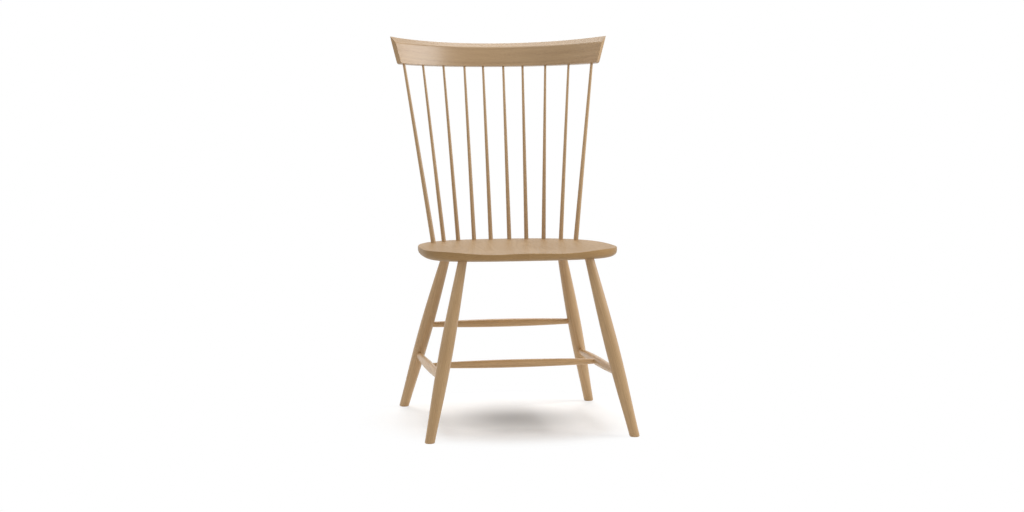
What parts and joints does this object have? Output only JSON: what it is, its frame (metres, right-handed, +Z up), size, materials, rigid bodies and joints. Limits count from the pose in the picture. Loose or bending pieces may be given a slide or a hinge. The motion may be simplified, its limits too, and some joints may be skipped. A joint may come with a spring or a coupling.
{
  "type": "windsor chair",
  "caption": "Wooden side chair: a dished plank seat on splayed turned legs tied by slim stretchers, with a fan of tapered spindles under a bent crest rail.",
  "frame": {"origin": "on the floor, under the middle of the chair's bounding box", "axes": "+Z is up, +Y points to the chair's back, +X points to the right of someone who faces the chair's front"},
  "size_m": [0.578, 0.6276, 0.9885],
  "materials": {
    "crest_wood": "pale natural hardwood, grain along the rail, satin lacquer",
    "spindle_wood": "natural hardwood, grain along the spindle, satin lacquer",
    "seat_wood": "natural hardwood, grain from front to back, satin lacquer",
    "leg_wood": "natural hardwood, grain along the leg, satin lacquer",
    "stretcher_wood": "natural hardwood, grain along the stretcher, satin lacquer"
  },
  "bodies": {
    "root": {"crest_rail": "crest_wood", "spindle_1": "spindle_wood", "spindle_2": "spindle_wood", "spindle_3": "spindle_wood", "spindle_4": "spindle_wood", "spindle_5": "spindle_wood", "spindle_6": "spindle_wood", "spindle_7": "spindle_wood", "spindle_8": "spindle_wood", "spindle_9": "spindle_wood", "spindle_10": "spindle_wood", "seat_board_1": "seat_wood", "seat_board_2": "seat_wood", "seat_board_3": "seat_wood", "seat_board_4": "seat_wood", "leg_front_left": "leg_wood", "leg_front_right": "leg_wood", "leg_rear_left": "leg_wood", "leg_rear_right": "leg_wood", "side_stretcher_left": "stretcher_wood", "side_stretcher_right": "stretcher_wood", "middle_stretcher": "stretcher_wood", "rear_stretcher": "stretcher_wood"}
  },
  "joints": []
}
